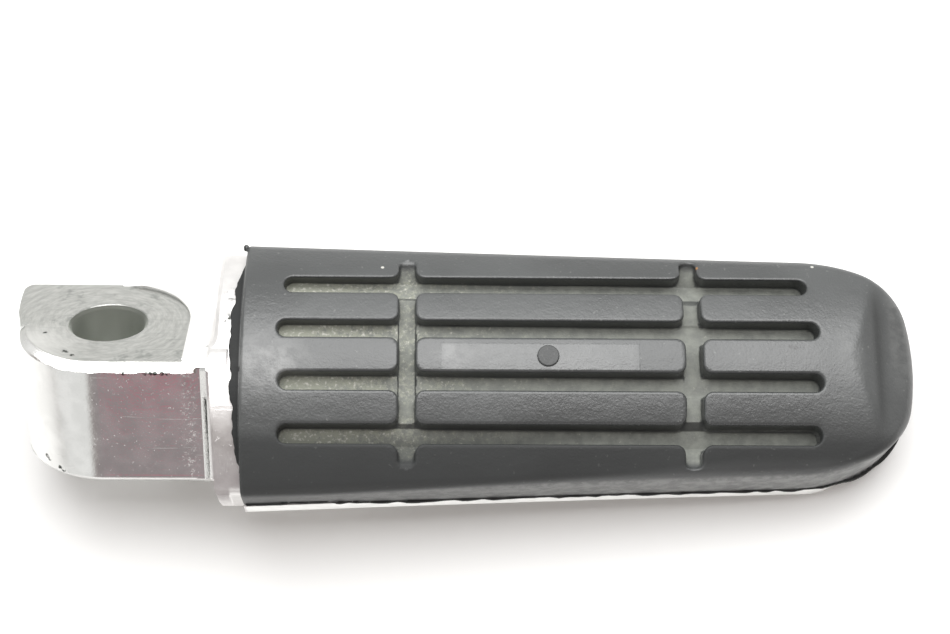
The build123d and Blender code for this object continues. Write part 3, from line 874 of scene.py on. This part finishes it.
def surface_net(field, xs, ys, zs):
    """The zero surface of a field on a grid of lines: one point in each cell it crosses."""
    x, y, z = np.meshgrid(xs, ys, zs, indexing="ij")
    values = field(x, y, z)
    inside = values < 0
    lines = (xs, ys, zs)
    cells = tuple(len(line) - 1 for line in lines)
    total = np.zeros(cells + (3,))
    count = np.zeros(cells)
    faces = []
    crossings = []
    for axis in range(3):
        low = [slice(None)] * 3
        high = [slice(None)] * 3
        low[axis] = slice(0, -1)
        high[axis] = slice(1, None)
        first = values[tuple(low)]
        second = values[tuple(high)]
        crossed = inside[tuple(low)] != inside[tuple(high)]
        share = np.where(crossed, first / np.where(crossed, first - second, 1), 0)
        place = []
        for other in range(3):
            shape = [1, 1, 1]
            shape[other] = -1
            line = lines[other][:-1] if other == axis else lines[other]
            base = np.broadcast_to(line.reshape(shape), first.shape)
            if other == axis:
                base = base + share * np.diff(lines[axis]).reshape(shape)
            place.append(np.where(crossed, base, 0))
        place = np.stack(place, -1)
        around = [other for other in range(3) if other != axis]
        for da in (0, 1):
            for db in (0, 1):
                window = [slice(None)] * 3
                window[around[0]] = slice(da, da + cells[around[0]])
                window[around[1]] = slice(db, db + cells[around[1]])
                total += place[tuple(window)]
                count += crossed[tuple(window)]
        crossings.append((axis, around, crossed, inside[tuple(low)]))
    used = count > 0
    index = np.full(cells, -1)
    index[used] = np.arange(used.sum())
    points = total[used] / count[used][:, None]
    for axis, around, crossed, first_inside in crossings:
        where = np.argwhere(crossed)
        keep = np.all([(where[:, a] > 0) & (where[:, a] < cells[a]) for a in around], axis=0)
        where = where[keep]
        corners = []
        for da, db in ((-1, -1), (0, -1), (0, 0), (-1, 0)):
            cell = where.copy()
            cell[:, around[0]] += da
            cell[:, around[1]] += db
            corners.append(index[cell[:, 0], cell[:, 1], cell[:, 2]])
        quads = np.stack(corners, -1)
        turned = first_inside[where[:, 0], where[:, 1], where[:, 2]]
        if axis == 1:
            turned = ~turned
        quads[~turned] = quads[~turned][:, ::-1]
        faces.append(quads)
    return points, np.concatenate(faces)


def gradient(field, points, reach=0.02):
    """The direction in which the field grows at each point."""
    slopes = []
    for axis in range(3):
        step = np.zeros(3)
        step[axis] = reach
        ahead = field(*(points + step).T)
        behind = field(*(points - step).T)
        slopes.append((ahead - behind) / (2 * reach))
    return np.stack(slopes, -1)


def draw_to_surface(field, points, passes=4, longest=0.2):
    """The points moved along the field's slope onto its zero surface."""
    for _ in range(passes):
        slope = gradient(field, points)
        size = np.maximum((slope**2).sum(1), 0.25)
        move = -(field(*points.T) / size)[:, None] * slope
        length = np.linalg.norm(move, axis=1)
        move *= np.minimum(1, longest / np.maximum(length, 1e-9))[:, None]
        points = points + move
    return points


def unit(vectors):
    return vectors / np.maximum(np.linalg.norm(vectors, axis=1), 1e-9)[:, None]


def smooth_mesh_parts(field, xs, ys, zs):
    """The points, faces and normals of a field's zero surface."""
    points, faces = surface_net(field, xs, ys, zs)
    points = draw_to_surface(field, points)
    return points, faces, unit(gradient(field, points))


def add_object(name, data):
    piece = bpy.data.objects.new(name, data)
    bpy.context.scene.collection.objects.link(piece)
    return piece


def close_zones(middles, width):
    """Stretches of grid about some middles, a margin wider than the width."""
    return [(middle - width / 2 - CLOSE_MARGIN, middle + width / 2 + CLOSE_MARGIN) for middle in middles]


def tread_lines():
    """The grid lines of the tread, close together at its lip, its edges and its grooves."""
    xs = grid_line(*GRID_X, close_zones(CROSS_X, CROSS_WIDTH) + CLOSE_X)
    ys = grid_line(*GRID_Y, close_zones(GROOVE_Y, GROOVE_WIDTH) + CLOSE_Y)
    return np.concatenate((np.arange(*LIP_GRID), xs)), ys, grid_line(*GRID_Z, CLOSE_Z)


def dot_lines():
    """The finer grid lines of the round button."""
    reach = DOT_GRID_REACH
    low, high = DOT_GRID_Z
    lines = [np.arange(middle - reach, middle + reach, DOT_GRID_STEP) for middle in DOT_PLACE]
    return lines + [np.arange(CREST_Z + low, CREST_Z + high, DOT_GRID_STEP)]


def by_place(x, table):
    """A value that changes along the peg, from pairs of a place and its value."""
    places, values = zip(*table)
    return np.interp(x, places, values)


def patch(x, y, middle_x, middle_y, reach_x, reach_y, strength):
    """A soft patch, strongest in its middle."""
    return strength * np.exp(-((x - middle_x) / reach_x) ** 2 - ((y - middle_y) / reach_y) ** 2)


def tread_marks(points, normals, on_dot):
    """How much each point of the rubber is groove floor, dusty, hazy or lit by painted sheen, and matte
    or in painted shade, from 0 to 1.
    """
    x, y, z = points.T
    up = normals[:, 2]
    long_slot = long_grooves(x, y)
    floor = smooth_step(-crown(y, z, CROWN_RADIUS), *FLOOR_DEPTH) * smooth_step(up, *FLOOR_RISE)
    groove = floor * (np.minimum(long_slot, cross_grooves(x, y)) < FLOOR_REACH)
    on_cross = smooth_step(long_slot, *CROSS_FADE)
    cross_dust = np.where(x < CROSS_SPLIT_X, *CROSS_DUST)
    dust = by_place(x, DUST_ALONG) * (1 - on_cross) + on_cross * cross_dust

    upright = smooth_step(-up, *UPRIGHT_FALL)
    skirt_top = by_place(x, SKIRT_TOP)
    low, high = SKIRT_FADE
    skirt = upright * (1 - smooth_step(z, skirt_top + low, skirt_top + high)) * (y < SKIRT_END_Y)
    toe = smooth_step(x, *TOE_X) * (1 - upright) * smooth_step(y, *TOE_Y)
    reach_x, reach_y, lowest_z = PANEL_HIGHLIGHT_REACH
    panel = (np.abs(x - sum(PANEL_X) / 2) < reach_x) * (np.abs(y - sum(PANEL_Y) / 2) < reach_y)
    # Haze in soft patches with a painted highlight on the nose's crest, and painted sheen on the skirt,
    # the toe and the middle block's crest.
    haze_and_sheen = sum(patch(x, y, *shape) for shape in HAZE_AND_HIGHLIGHT_PATCHES)
    haze_and_sheen += skirt * by_place(x, SKIRT_PAINTED_SHEEN) + TOE_PAINTED_SHEEN * toe + PANEL_PAINTED_HIGHLIGHT * panel * (z > lowest_z)
    haze_and_sheen *= 1 - on_dot

    torn_edge = (z < FLASH_Z[1] + TORN_BELOW) & (outline(x, y) > TORN_OUTSIDE)
    torn = (x < ROOT_X - TORN_BEHIND) | torn_edge
    # Painted shade in the nose's valley.
    valley = np.exp(-((x - VALLEY_X) / VALLEY_WIDTH) ** 2) * smooth_step(up, *VALLEY_RISE)
    valley *= smooth_step(-np.abs(y), *VALLEY_Y)
    # Painted shade on the front flank above the skirt.
    low, high = FLANK_FADE
    flank = smooth_step(z, skirt_top + low, skirt_top + high) * smooth_step(-z, *FLANK_TOP)
    flank *= smooth_step(-y, *FLANK_Y)
    # Near black: matte torn rubber with painted shade on the fin, the darker button, and painted shade in
    # the valley and on the flank.
    shares = (TORN_MATTE_AND_SHADE * torn, DOT_MATTE * on_dot, VALLEY_PAINTED_SHADE * valley, FLANK_PAINTED_SHADE * flank)
    matte_and_shade = np.maximum.reduce(shares)
    return {"groove": groove, "dust": dust, "haze_and_sheen": haze_and_sheen, "matte_and_shade": matte_and_shade}


def tread_piece():
    """The rubber tread as one fine mesh, with its round button and its marks."""
    points, faces, normals = smooth_mesh_parts(tread_field, *tread_lines())
    dot_points, dot_faces, dot_normals = smooth_mesh_parts(dot_field, *dot_lines())
    on_dot = np.concatenate((np.zeros(len(points)), np.ones(len(dot_points))))
    faces = np.concatenate((faces, dot_faces + len(points)))
    points = np.concatenate((points, dot_points))
    normals = np.concatenate((normals, dot_normals))
    mesh = bpy.data.meshes.new("tread")
    mesh.from_pydata(points * MM, [], faces)
    mesh.shade_smooth()
    mesh.normals_split_custom_set_from_vertices(normals)
    for name, values in tread_marks(points, normals, on_dot).items():
        mesh.attributes.new(name, "FLOAT", "POINT").data.foreach_set("value", values.astype(np.float32))
    return add_object("tread", mesh)


def stop_edge():
    """The outer edge of the square corner, up the back, round the corner and along the top."""
    x, y = STOP_CORNER
    bend = np.linspace(0, math.pi / 2, STOP_ROUND_POINTS)
    corner = [(x - STOP_ROUND * math.cos(a), y + STOP_ROUND * math.sin(a)) for a in bend]
    return np.array(STOP_BACK + corner + STOP_TOP)


def stop_corner():
    """The square back corner of the tongue, which stops the peg when it is folded down."""
    edge = stop_edge()
    angles = np.radians(np.linspace(*STOP_ARC, len(edge)))
    arc = np.stack((np.cos(angles), np.sin(angles)), -1)
    inner, outer = STOP_BEVEL_SCALE * edge, edge
    near, far = (radius * arc for radius in STOP_ARC_RADII)
    top = STOP_HALF_THICKNESS
    shoulder, sunk = top - STOP_BEVEL, top - STOP_SINK
    loop = [(inner, top), (outer, shoulder), (outer, -shoulder), (inner, -top)]
    loop += [(near, -top), (far, -sunk), (far, sunk), (near, top)]
    rings = [np.column_stack((flat, np.full(len(flat), level))) for flat, level in loop]
    points = np.stack(rings, 1).reshape(-1, 3) * MM
    sides, stations = len(loop), len(edge)
    faces = [list(range(sides)), list(range(sides * stations - 1, sides * stations - sides - 1, -1))]
    for station in range(stations - 1):
        for i in range(sides):
            a, b = station * sides + i, station * sides + (i + 1) % sides
            faces.append([b, a, a + sides, b + sides])
    turn = Matrix.Rotation(-TONGUE_LEAN, 3, "X")
    mesh = bpy.data.meshes.new("stop_corner")
    mesh.from_pydata([turn @ Vector(point) for point in points], [], faces)
    mesh.materials.append(bpy.data.materials["cast_aluminium"])
    piece = add_object("stop_corner", mesh)
    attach(piece, "root")


def lower_hull(points):
    """The lower edge of a cloud of (x, z) points, from left to right."""
    hull = []
    for point in sorted(map(tuple, points)):
        while len(hull) > 1:
            (ax, az), (bx, bz) = hull[-2:]
            if (bx - ax) * (point[1] - az) > (bz - az) * (point[0] - ax):
                break
            hull.pop()
        hull.append(point)
    return hull


def rest_line():
    """Where the peg touches the table: two points of its lower edge, seen from the side."""
    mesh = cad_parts["peg_body"].data
    points = np.array([vertex.co for vertex in mesh.vertices])
    hull = lower_hull(np.round(points[:, [0, 2]], 6))
    middle = points[:, 0].mean()
    for left, right in zip(hull, hull[1:]):
        if left[0] <= middle <= right[0]:
            return left, right


def table():
    """The pale table, tilted in the part's frame as the peg leans on it."""
    left, right = rest_line()
    slope = math.atan2(right[1] - left[1], right[0] - left[0])
    reach = TABLE_REACH
    corners = [(-reach, -reach, 0), (reach, -reach, 0), (reach, reach, 0), (-reach, reach, 0)]
    mesh = bpy.data.meshes.new("table")
    mesh.from_pydata(corners, [], [(0, 1, 2, 3)])
    mesh.materials.append(floor_material())
    piece = add_object("table", mesh)
    piece.matrix_world = Matrix.Translation((left[0], 0, left[1])) @ Matrix.Rotation(-slope, 4, "Y")


def camera():
    """The camera of the photograph."""
    data = bpy.data.cameras.new("camera")
    data.lens = CAMERA_LENS
    data.sensor_fit = "HORIZONTAL"
    data.sensor_width = SENSOR_WIDTH
    data.clip_start = NEAREST_SEEN * MM
    eye = add_object("camera", data)
    columns = (CAMERA_RIGHT, CAMERA_UP, CAMERA_BACK)
    turn = Matrix([[column[row] for column in columns] for row in range(3)])
    eye.matrix_world = Matrix.Translation(Vector(CAMERA_PLACE) * MM) @ turn.to_4x4()
    bpy.context.scene.camera = eye


def overhead_lamp():
    """A large soft lamp over the peg, a little behind it."""
    data = bpy.data.lights.new("overhead", "AREA")
    data.shape = "RECTANGLE"
    data.size, data.size_y = LAMP_SIZE
    data.energy = LAMP_POWER
    lamp = add_object("overhead", data)
    lamp.location = (LAMP_X, LAMP_DISTANCE * math.sin(LAMP_TILT), LAMP_DISTANCE * math.cos(LAMP_TILT))
    aim = Vector((LAMP_X, 0, 0)) - lamp.location
    lamp.rotation_euler = aim.to_track_quat("-Z", "Y").to_euler()


def surroundings():
    """A room, bright behind and to the left, dim in front with a reddish patch."""
    world = bpy.data.worlds.new("room")
    bpy.context.scene.world = world
    world.use_nodes = True
    graph = Graph(world.node_tree)
    x, y, z = graph.split(graph.add("ShaderNodeTexCoord").outputs["Generated"])
    room = graph.mix(graph.step(y, *BACK_Y), ROOM_FRONT, ROOM_BACK)
    left = graph.product(graph.fall(x, *LEFT_X), graph.fall(z, *LEFT_Z))
    room = graph.mix(left, room, ROOM_LEFT)
    shade = graph.product(graph.fall(y, *SHADE_Y), graph.step(x, *SHADE_X))
    room = graph.mix(shade, room, FRONT_SHADE)
    red = graph.product(shade, graph.band(z, *RED_Z, RED_SOFT), graph.band(x, *RED_X, RED_SOFT))
    room = graph.mix(red, room, FRONT_RED)
    shader = graph.add("ShaderNodeBackground", {"Color": room, "Strength": 1.0})
    graph.add("ShaderNodeOutputWorld", {"Surface": shader.outputs["Background"]})


def dress(node, material):
    """Gives a CAD node its material."""
    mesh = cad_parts[node].data
    mesh.materials.clear()
    mesh.materials.append(material)


scene = bpy.context.scene
scene.view_settings.view_transform = "Standard"
camera()
table()
surroundings()
overhead_lamp()

tread = tread_piece()
tread.data.materials.append(rubber_material())
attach(tread, "root")
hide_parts("tread_rubber")

dress("peg_body", aluminium_material())
stop_corner()
plated = steel_material("plated_steel", PLATED_STEEL, 0.35, 0.5)
zinc = steel_material("zinc_steel", ZINC_STEEL, 0.28, 0.42)
dress("insert_plate", plated)
for end in ("inner", "outer"):
    for kind in ("weld_nut_", "screw_", "flat_washer_", "spring_washer_"):
        dress(kind + end, zinc)
